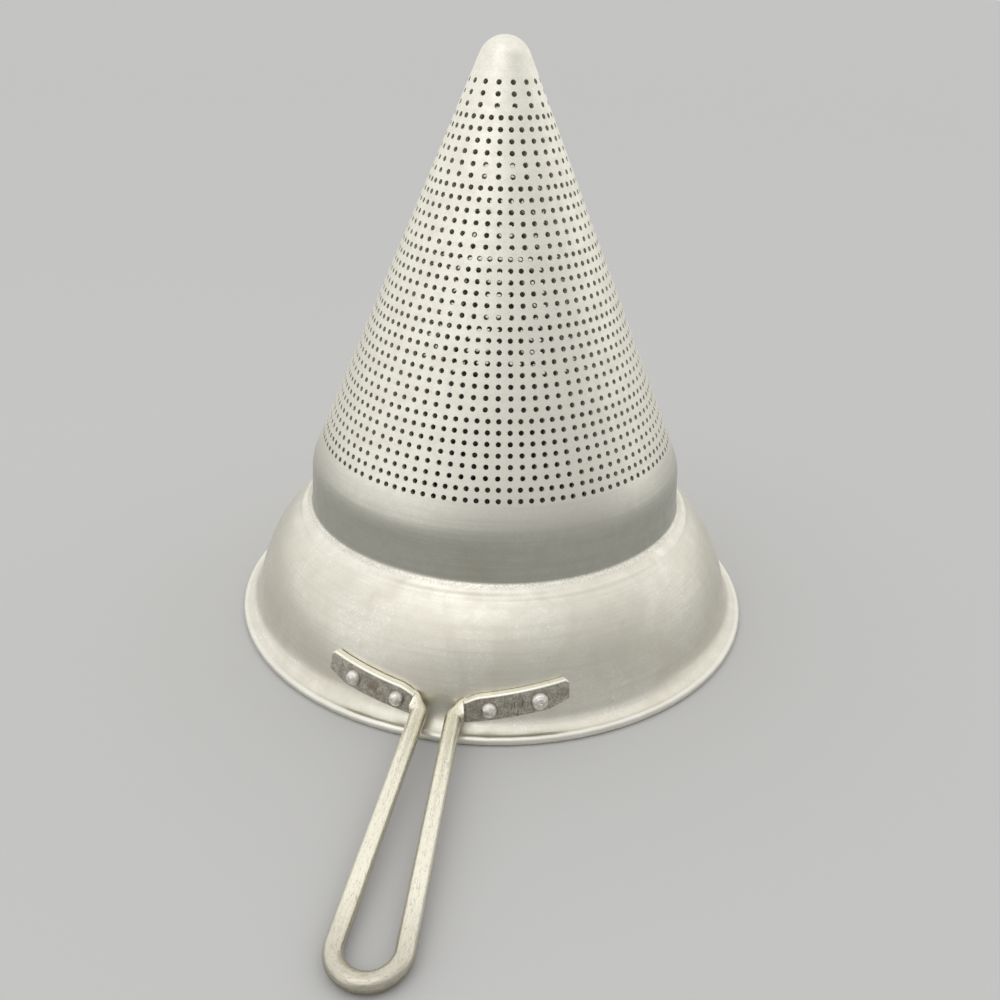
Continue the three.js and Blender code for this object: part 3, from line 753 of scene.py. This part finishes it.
# Point on the bowl's outside under a pad's middle line, the way out from it, and its lean
def pad_place(angle):
    share = (abs(angle) - INNER_RIVET_ANGLE) / (OUTER_RIVET_ANGLE - INNER_RIVET_ANGLE)
    height = PAD_HEIGHT + PAD_RISE * share
    lean = math.asin((height - BOWL_CENTRE.y) / BOWL_CURVE)
    radius = BOWL_CENTRE.x + BOWL_CURVE * math.cos(lean)
    point = Vector((radius * math.sin(angle), -radius * math.cos(angle), height))
    out = Vector((math.sin(angle) * math.cos(lean), -math.cos(angle) * math.cos(lean), math.sin(lean)))
    return point, out, lean


def pad_middle(angle):
    point, out, lean = pad_place(angle)
    return point + out * (SEAM + PAD_THICKNESS / 2), lean


def smooth_share(value, start, end):
    share = min(1.0, max(0.0, (value - start) / (end - start)))
    return share * share * (3 - 2 * share)


# Outline of the wire at one station: a rounded rectangle on a pad, a circle on the wire.
# Its top edge goes over from one to the other more slowly than the rest.
def wire_section(thickness, set_back, upper, lower, roundness, top_roundness):
    ring = []
    for across, up, start in ((1, 1, 0), (-1, 1, 1), (-1, -1, 2), (1, -1, 3)):
        height = upper if up > 0 else lower
        lip = PAD_LIP if up > 0 > across else 0.0
        edge = PAD_TOP_EDGE if up > 0 and across > 0 else PAD_EDGE
        corner = (across * (thickness + lip - edge) - set_back, up * (height - edge))
        ring.append(arc(corner, edge, start * math.pi / 2, (start + 1) * math.pi / 2, CORNER_STEPS))
    outline = []
    for number, points in enumerate(ring):
        following = ring[(number + 1) % 4][0]
        outline += points
        for i in range(1, FACE_STEPS):
            outline.append(tuple(Vector(points[-1]).lerp(Vector(following), i / FACE_STEPS)))
    turn = 2 * math.pi / len(outline)
    blended = []
    for i, point in enumerate(outline):
        angle = turn * (i + CORNER_STEPS / 2)
        circle = Vector((math.cos(angle), math.sin(angle)))
        share = lerp(roundness, top_roundness, smooth_share(circle.y, *TOP_SIDE))
        blended.append(Vector(point).lerp(circle * WIRE_RADIUS, share))
    return blended


# Stations from the outer end of a pad to the end of the loop, drawn on the right.
# A station has its centre, heading in plan, lean and section, and its roundness.
# The pad's back is level with the wire's, so the wire's middle lies further out than the pad's.
def half_of_handle(side):
    stations = []
    pad_upper = PAD_WIDTH / 2 + PAD_SHIFT
    pad_lower = PAD_WIDTH / 2 - PAD_SHIFT

    def add(centre, heading, lean, section, roundness):
        stations.append((Vector(centre), Vector(heading), lean, section, roundness))

    inner, _ = pad_middle(INNER_RIVET_ANGLE)
    pad_radius = math.hypot(inner.x, inner.y)
    wire_out = WIRE_RADIUS - PAD_THICKNESS / 2
    bend_x = ARM_GAP / 2 + BEND_RADIUS + side * BEND_ASIDE
    bend_reach = pad_radius + wire_out + BEND_RADIUS
    bend_centre = Vector((bend_x, -math.sqrt(bend_reach ** 2 - bend_x ** 2)))
    pad_inner_angle = math.atan2(bend_centre.x, -bend_centre.y)
    loop_end = HANDLE_REACH - WIRE_RADIUS
    loop_centre = Vector((side * LOOP_ASIDE, LOOP_RADIUS - loop_end))
    between = loop_centre - bend_centre
    arm_tilt = math.asin((LOOP_RADIUS + BEND_RADIUS) / between.length)
    arm_angle = angle_of(between) % (2 * math.pi) + arm_tilt
    arm_left = arm_angle + math.pi / 2
    arm_start = Vector(on_round(bend_centre, BEND_RADIUS, arm_left + math.pi))
    arm_fall = (WIRE_RADIUS + LOOP_LIFT - ARM_HEIGHT) / (loop_end + arm_start.y)

    for i in range(PAD_STEPS + 1):
        share = (i / PAD_STEPS) ** PAD_STEP_GROWTH
        angle = lerp(PAD_END_ANGLE, pad_inner_angle, share)
        centre, lean = pad_middle(angle)
        from_end = (PAD_END_ANGLE - angle) * pad_radius
        blunt = max(0.0, 1 - from_end / (PAD_EDGE / 2)) * PAD_EDGE / 2
        upper = pad_upper - max(0.0, PAD_UPPER_CLIP - from_end) - blunt
        lower = pad_lower - PAD_LOWER_CLIP * max(0.0, 1 - from_end / PAD_CLIP_LENGTH) - blunt
        fall = smooth_share((pad_inner_angle - angle) * pad_radius, TOP_FALLS_FROM, TOP_FALLS_TO)
        upper = lerp(upper, WIRE_RADIUS, fall)
        section = wire_section(PAD_THICKNESS / 2 - blunt, 0.0, upper, lower, 0.0, 0.0)
        add(centre, (-math.cos(angle), -math.sin(angle)), lean, section, 0.0)

    pad_end, pad_lean = pad_middle(pad_inner_angle)
    bend_from = math.pi / 2 + pad_inner_angle
    bend_to = (arm_left + math.pi) % (2 * math.pi)
    for i in range(1, BEND_STEPS + 1):
        angle = lerp(bend_from, bend_to, i / BEND_STEPS)
        along_bend = (angle - bend_from) * BEND_RADIUS
        roundness = smooth_share(along_bend, STEP_FROM, STEP_TO)
        top_roundness = smooth_share(along_bend, STEP_FROM, TOP_ROUNDS_TO)
        upper = lerp(pad_upper, WIRE_RADIUS, smooth_share(along_bend, TOP_FALLS_FROM, TOP_FALLS_TO))
        plan = on_round(bend_centre, BEND_RADIUS, angle)
        section = wire_section(PAD_THICKNESS / 2, wire_out, upper, pad_lower, roundness, top_roundness)
        height = lerp(pad_end.z + wire_out * math.sin(pad_lean), ARM_HEIGHT, i / BEND_STEPS)
        heading = (-math.sin(angle), math.cos(angle))
        lean = pad_lean * (1 - smooth_share(along_bend, 0.0, TOP_FALLS_TO))
        add((*plan, height), heading, lean, section, roundness)

    circle = wire_section(PAD_THICKNESS / 2, wire_out, pad_upper, pad_lower, 1.0, 1.0)
    loop_from = arm_left - 2 * math.pi
    loop_start = Vector(on_round(loop_centre, LOOP_RADIUS, loop_from))
    for i in range(1, ARM_STEPS):
        plan = arm_start.lerp(loop_start, i / ARM_STEPS)
        heading = (loop_start - arm_start).normalized()
        add((*plan, ARM_HEIGHT + arm_fall * (arm_start.y - plan.y)), heading, 0.0, circle, 1.0)
    for i in range(LOOP_STEPS + 1):
        angle = lerp(loop_from, -math.pi / 2, i / LOOP_STEPS)
        plan = on_round(loop_centre, LOOP_RADIUS, angle)
        heading = (math.sin(angle), -math.cos(angle))
        add((*plan, ARM_HEIGHT + arm_fall * (arm_start.y - plan[1])), heading, 0.0, circle, 1.0)
    return stations


def mirrored(station):
    centre, heading, *rest = station
    return (Vector((-centre.x, centre.y, centre.z)), Vector((heading.x, -heading.y)), *rest)


left_half = [mirrored(station) for station in half_of_handle(-1)[:-1]]
stations = half_of_handle(1) + left_half[::-1]
section_sides = len(stations[0][3])
side_steps = CORNER_STEPS + FACE_STEPS
handle_points = []
handle_pressed_or_shaded = []
handle_edge = []
handle_wrap = []
along = 0.0
for number, (centre, heading, lean, section, roundness) in enumerate(stations):
    if number:
        along += (centre - stations[number - 1][0]).length
    aside = Vector((-heading.y, heading.x, 0.0))
    upright = Vector((0.0, 0.0, 1.0))
    out = aside * math.cos(lean) + upright * math.sin(lean)
    across = upright * math.cos(lean) - aside * math.sin(lean)
    for i, (thick, high) in enumerate(section):
        point = centre + out * thick + across * high
        handle_points.append((point.x, point.y + AXIS_Y, point.z))
        face, along_face = divmod((i - CORNER_STEPS) % section_sides, side_steps)
        on_face = along_face <= FACE_STEPS
        in_front = i <= CORNER_STEPS or i >= 3 * side_steps
        # On the step from a pad's face out to the round wire, the pad's darker pressed colour runs on:
        # partly pressed metal, partly painted shade in the hollow there.
        on_shaded_step = in_front and 0.0 < roundness < 1.0
        pressed_or_shaded = (on_face and face % 2 == 1) or on_shaded_step
        handle_pressed_or_shaded.append((1 - smooth_share(roundness, *PRESSED_ENDS)) * pressed_or_shaded)
        handle_edge.append((1 - roundness) * (not pressed_or_shaded))
        handle_wrap.append((along, thick, high))
handle_faces = []
last = (len(stations) - 1) * section_sides
for base in range(0, last, section_sides):
    for i in range(section_sides):
        following = (i + 1) % section_sides
        ahead = base + section_sides
        handle_faces.append((base + i, base + following, ahead + following, ahead + i))
handle_faces.append(tuple(range(section_sides))[::-1])
handle_faces.append(tuple(range(last, last + section_sides)))
handle = new_object("looped_handle", handle_points, handle_faces)
handle.data.polygons.foreach_set("use_smooth", [True] * len(handle.data.polygons))
handle.data.set_sharp_from_angle(angle=SMOOTH_BELOW)
for name, values in (("pressed_or_step_shade", handle_pressed_or_shaded), ("edge", handle_edge)):
    handle.data.attributes.new(name, "FLOAT", "POINT").data.foreach_set("value", values)
wrap_mark = handle.data.attributes.new("wrap", "FLOAT_VECTOR", "POINT")
wrap_mark.data.foreach_set("vector", np.array(handle_wrap, np.float32).ravel())

STEEL_WARM = (0.93, 0.895, 0.755, 1.0)
STEEL_STREAK = (0.68, 0.65, 0.55, 1.0)
STEEL_SPECK = (0.34, 0.31, 0.25, 1.0)
STEEL_PRESSED = (0.59, 0.565, 0.49, 1.0)
STEEL_SCALE = (0.38, 0.355, 0.30, 1.0)
STEEL_DULLING = (0.78, 0.775, 0.76, 1.0)
STEEL_RUBBED = (0.90, 0.88, 0.79, 1.0)
STEEL_STAIN = (0.27, 0.21, 0.155, 1.0)
STEEL_SPOT = (0.05, 0.045, 0.04, 1.0)
STEEL_PAINTED_UNDERSHADE = (0.46, 0.44, 0.39, 1.0)
STEEL_HANDLED = (0.66, 0.65, 0.645, 1.0)
UNDERSHADE_SPAN = (-1.4 * MM, 2.6 * MM)
HANDLED_END = (-0.189, -0.148)
STREAKS = ((300.0, 2600.0, 2600.0), 3.0)
STREAK_RAMP = (0.45, 0.72)
BLOTCHES = (260.0, 3.0, 0.5)
STREAKED_RAMP = (0.3, 0.7, 0.3, 1.0)
DULLING_RAMP = (0.42, 0.62)
RUBBED_RAMP = (0.3, 0.6, 0.5, 1.0)
SPECKS = ((900.0, 2200.0, 2200.0), 3.0)
SPECK_RAMP = (0.60, 0.70)
SPECK_SHARE = 0.6
SCALE_GRAIN = (1400.0, 3.0)
SCALE_RAMP = (0.35, 0.65)
PRESSED_RAMP = (0.3, 0.8)
STAIN_RADIUS = 6.0 * MM
STAIN_RAMP = (0.35, 0.6)
SCRATCHES = ((1100.0, 110.0, 110.0), 2.0, 1.0)
SCRATCH_RAMP = (0.59, 0.63)
SCRATCH_REACH = 9.0 * MM
STEEL_ROUGHNESS = 0.17
SPECK_ROUGHNESS = 0.15
STREAK_ROUGHNESS = 0.2
PRESSED_ROUGHNESS = 0.21
SPECK_RELIEF = -0.6
STEEL_RELIEF = (0.25, 0.12 * MM)


# How near a place on the handle is to the middle of a pad, from 0 at a reach to 1
def near_pad_middle(tree, at, side, reach):
    middle, _ = pad_middle((INNER_RIVET_ANGLE + OUTER_RIVET_ANGLE) / 2)
    spot = (side * middle.x, middle.y + AXIS_Y, middle.z)
    away = put(tree, "ShaderNodeVectorMath", {0: at, 1: spot}, operation="DISTANCE").outputs["Value"]
    return ease(tree, away, 0.0, reach, 1.0, 0.0)


steel = bpy.data.materials.new("plated_steel")
steel.use_nodes = True
tree = steel.node_tree
at = object_place(tree)
wrap = put(tree, "ShaderNodeAttribute", attribute_name="wrap").outputs["Vector"]
streaks = streaky(tree, wrap, *STREAKS)
blotches = noise(tree, at, *BLOTCHES)
grain = noise(tree, at, *SCALE_GRAIN)
specks = ease(tree, streaky(tree, wrap, *SPECKS), *SPECK_RAMP)
# Pads take the pressed colour, and so do the steps beside them, where it is partly painted shade.
pressed_or_step_shade = ease(tree, attribute(tree, "pressed_or_step_shade"), *PRESSED_RAMP)
edge = attribute(tree, "edge")
streaked = ease(tree, blotches, *STREAKED_RAMP)
worn = maths(tree, "MULTIPLY", ease(tree, streaks, *STREAK_RAMP), streaked)
colour = mix(tree, worn, STEEL_WARM, STEEL_STREAK)
colour = mix(tree, maths(tree, "MULTIPLY", specks, SPECK_SHARE), colour, STEEL_SPECK)
high = put(tree, "ShaderNodeSeparateXYZ", {0: wrap}).outputs["Z"]
# The wire's underside is darkened: painted shade, so the wire reads rounder; its top keeps the plain
# colour.
colour = tinted(tree, ease(tree, high, *UNDERSHADE_SPAN, 1.0, 0.0), colour, STEEL_PAINTED_UNDERSHADE)
to_front = put(tree, "ShaderNodeSeparateXYZ", {0: at}).outputs["Y"]
colour = tinted(tree, ease(tree, to_front, *HANDLED_END, 1.0, 0.0), colour, STEEL_HANDLED)
pad_metal = mix(tree, ease(tree, grain, *SCALE_RAMP), STEEL_PRESSED, STEEL_SCALE)
pad_metal = tinted(tree, ease(tree, blotches, *DULLING_RAMP), pad_metal, STEEL_DULLING)
stains = ease(tree, blotches, *STAIN_RAMP)
stained = maths(tree, "MULTIPLY", near_pad_middle(tree, at, -1, STAIN_RADIUS), stains)
pad_metal = mix(tree, stained, pad_metal, STEEL_STAIN)
scratches = ease(tree, streaky(tree, wrap, *SCRATCHES), *SCRATCH_RAMP)
scratched = maths(tree, "MULTIPLY", near_pad_middle(tree, at, 1, SCRATCH_REACH), scratches)
pad_metal = mix(tree, scratched, pad_metal, STEEL_SPOT)
colour = mix(tree, pressed_or_step_shade, colour, pad_metal)
rubbed = maths(tree, "MULTIPLY", edge, ease(tree, blotches, *RUBBED_RAMP))
colour = mix(tree, rubbed, colour, STEEL_RUBBED)
roughness = roughened(tree, STEEL_ROUGHNESS, [
    (specks, SPECK_ROUGHNESS),
    (streaks, STREAK_ROUGHNESS),
    (pressed_or_step_shade, PRESSED_ROUGHNESS),
])
relief = maths(tree, "MULTIPLY_ADD", specks, SPECK_RELIEF, maths(tree, "ADD", streaks, grain))
make_metal(tree, colour, roughness, relief, *STEEL_RELIEF)
handle.data.materials.append(steel)

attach(handle, "root")
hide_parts("wire_handle")

# Rivets. Four soft aluminium rivets with domed heads hold the pads, their tails spread inside the
# bowl; the outer right head carries the ring and centre mark of the setting tool.
RIVET_COUNT = 4
SHANK_RADIUS = 2.0 * MM
HEAD_RADIUS = 3.6 * MM
HEAD_HEIGHT = 2.5 * MM
HEAD_LIP = 0.3 * MM
TAIL_RADIUS = 3.5 * MM
TAIL_HEIGHT = 1.3 * MM
TAIL_ROUND = 0.65 * MM
RIVET_SIDES = 28
HEAD_STEPS = 18
TAIL_STEPS = 5
MARK_RADIUS = 0.55 * MM
MARK_DEPTH = 0.5 * MM
RING_RADIUS = 2.1 * MM
RING_WIDTH = 0.28 * MM
RING_DEPTH = 0.25 * MM
MARKED_HEAD_SPREAD = 0.1
RIM_FROM = 2.5 * MM

head_seat = SEAM + PAD_THICKNESS
dome_height = HEAD_HEIGHT + SEAM - HEAD_LIP
dome_radius = (HEAD_RADIUS ** 2 + dome_height ** 2) / (2 * dome_height)
dome_base = head_seat + HEAD_LIP
dome_centre = (0.0, dome_base + dome_height - dome_radius)
dome_from = math.asin((dome_base - dome_centre[1]) / dome_radius)
tail_seat = -SHELL_WALL
rivet_profile = arc(dome_centre, dome_radius, math.pi / 2, dome_from, HEAD_STEPS)
rivet_profile[0] = (0.0, rivet_profile[0][1])
rivet_profile += [(HEAD_RADIUS, head_seat), (SHANK_RADIUS, head_seat)]
rivet_profile += [(SHANK_RADIUS, tail_seat), (TAIL_RADIUS, tail_seat)]
tail_corner = (TAIL_RADIUS - TAIL_ROUND, tail_seat - TAIL_HEIGHT + TAIL_ROUND)
rivet_profile += arc(tail_corner, TAIL_ROUND, 0.0, -math.pi / 2, TAIL_STEPS)
rivet_profile.append((0.0, tail_seat - TAIL_HEIGHT))
rivets = new_object("handle_rivets", *turned(rivet_profile, RIVET_SIDES, 0.0))

soft_aluminium = bpy.data.materials.new("rivet_aluminium")
riveting = {
    "Inner angle": INNER_RIVET_ANGLE,
    "Outer angle": OUTER_RIVET_ANGLE,
    "Height": PAD_HEIGHT,
    "Rise": PAD_RISE,
    "Ring radius": RING_RADIUS,
    "Metal": soft_aluminium,
}
tree, given = new_tree("riveting", riveting)
index = put(tree, "GeometryNodeInputIndex").outputs[0]
side = maths(tree, "MULTIPLY_ADD", maths(tree, "MODULO", index, 2.0), 2.0, -1.0)
outer = maths(tree, "FLOOR", maths(tree, "DIVIDE", index, 2.0))
spread = maths(tree, "SUBTRACT", given["Outer angle"], given["Inner angle"])
angle = maths(tree, "MULTIPLY", maths(tree, "MULTIPLY_ADD", outer, spread, given["Inner angle"]), side)
height = maths(tree, "MULTIPLY_ADD", outer, given["Rise"], given["Height"])
lean = maths(tree, "DIVIDE", maths(tree, "SUBTRACT", height, BOWL_CENTRE.y), BOWL_CURVE)
lean = maths(tree, "ARCSINE", lean)
level = maths(tree, "COSINE", lean)
radius = maths(tree, "MULTIPLY_ADD", level, BOWL_CURVE, BOWL_CENTRE.x)
to_right = maths(tree, "SINE", angle)
to_back = maths(tree, "MULTIPLY", maths(tree, "COSINE", angle), -1.0)
seats = put(tree, "GeometryNodePoints", {
    "Count": RIVET_COUNT,
    "Position": combine(
        tree,
        maths(tree, "MULTIPLY", radius, to_right),
        maths(tree, "MULTIPLY_ADD", radius, to_back, AXIS_Y),
        height,
    ),
}).outputs[0]
out = combine(
    tree,
    maths(tree, "MULTIPLY", level, to_right),
    maths(tree, "MULTIPLY", level, to_back),
    maths(tree, "SINE", lean),
)
at = put(tree, "GeometryNodeInputPosition").outputs[0]
parts = put(tree, "ShaderNodeSeparateXYZ", {0: at}).outputs
from_middle = vector_maths(tree, "MULTIPLY", at, (1.0, 1.0, 0.0))
from_middle = put(tree, "ShaderNodeVectorMath", {0: from_middle}, operation="LENGTH").outputs["Value"]
from_ring = maths(tree, "ABSOLUTE", maths(tree, "SUBTRACT", from_middle, given["Ring radius"]))
# The rim mark is painted shade round the edges of the heads and tails.
plain = put(tree, "GeometryNodeStoreNamedAttribute", {
    "Geometry": given["Geometry"],
    "Name": "painted_rim_shade",
    "Value": ease(tree, from_middle, RIM_FROM, HEAD_RADIUS),
}, data_type="FLOAT", domain="POINT").outputs[0]
sunk = maths(
    tree,
    "ADD",
    ease(tree, from_middle, 0.0, MARK_RADIUS, -MARK_DEPTH, 0.0),
    ease(tree, from_ring, 0.0, RING_WIDTH, -RING_DEPTH, 0.0),
)
marked = put(tree, "GeometryNodeSetPosition", {
    "Geometry": plain,
    "Selection": maths(tree, "GREATER_THAN", parts["Z"], dome_base),
    "Offset": combine(tree, 0.0, 0.0, sunk),
}).outputs[0]
marked = put(tree, "GeometryNodeSetPosition", {
    "Geometry": marked,
    "Selection": maths(tree, "GREATER_THAN", parts["Z"], (head_seat + tail_seat) / 2),
    "Offset": vector_maths(tree, "MULTIPLY", at, (MARKED_HEAD_SPREAD, MARKED_HEAD_SPREAD, 0.0)),
}).outputs[0]
kinds = put(tree, "GeometryNodeJoinGeometry")
for kind in (marked, plain):
    single = put(tree, "GeometryNodeGeometryToInstance", {0: kind}).outputs[0]
    tree.links.new(single, kinds.inputs[0])

# The last rivet, the outer one on the right, has the marked head
set_rivets = put(tree, "GeometryNodeInstanceOnPoints", {
    "Points": seats,
    "Instance": kinds.outputs[0],
    "Pick Instance": True,
    "Instance Index": maths(tree, "GREATER_THAN", index, RIVET_COUNT - 1.5),
    "Rotation": put(tree, "FunctionNodeAlignRotationToVector", {"Vector": out}, axis="Z").outputs[0],
}).outputs[0]
set_rivets = put(tree, "GeometryNodeRealizeInstances", {"Geometry": set_rivets}).outputs[0]
set_rivets = put(tree, "GeometryNodeSetMaterial", {
    "Geometry": set_rivets,
    "Material": given["Metal"],
}).outputs[0]
put(tree, "NodeGroupOutput", {"Geometry": set_rivets})
bake(rivets, tree, riveting)
rivets.data.polygons.foreach_set("use_smooth", [True] * len(rivets.data.polygons))
rivets.data.set_sharp_from_angle(angle=SMOOTH_BELOW)

RIVET_BRIGHT = (0.87, 0.85, 0.80, 1.0)
RIVET_DULL = (0.64, 0.62, 0.565, 1.0)
RIVET_RIM_SHADE = (0.36, 0.345, 0.31, 1.0)
RIM_SHARE = 0.75
DENTS = (900.0, 4.0)
DENT_RAMP = (0.38, 0.62)
RIVET_ROUGHNESS = 0.28
DENT_ROUGHNESS = 0.2
RIVET_RELIEF = (0.2, 0.15 * MM)

soft_aluminium.use_nodes = True
tree = soft_aluminium.node_tree
dents = noise(tree, object_place(tree), *DENTS)
colour = mix(tree, ease(tree, dents, *DENT_RAMP), RIVET_BRIGHT, RIVET_DULL)
# Heads and tails darken towards their rims: painted shade round their edges.
colour = mix(tree, maths(tree, "MULTIPLY", attribute(tree, "painted_rim_shade"), RIM_SHARE), colour, RIVET_RIM_SHADE)
roughness = roughened(tree, RIVET_ROUGHNESS, [(dents, DENT_ROUGHNESS)])
make_metal(tree, colour, roughness, dents, *RIVET_RELIEF)

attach(rivets, "root")
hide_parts("rivet_left_outer", "rivet_left_inner", "rivet_right_inner", "rivet_right_outer")
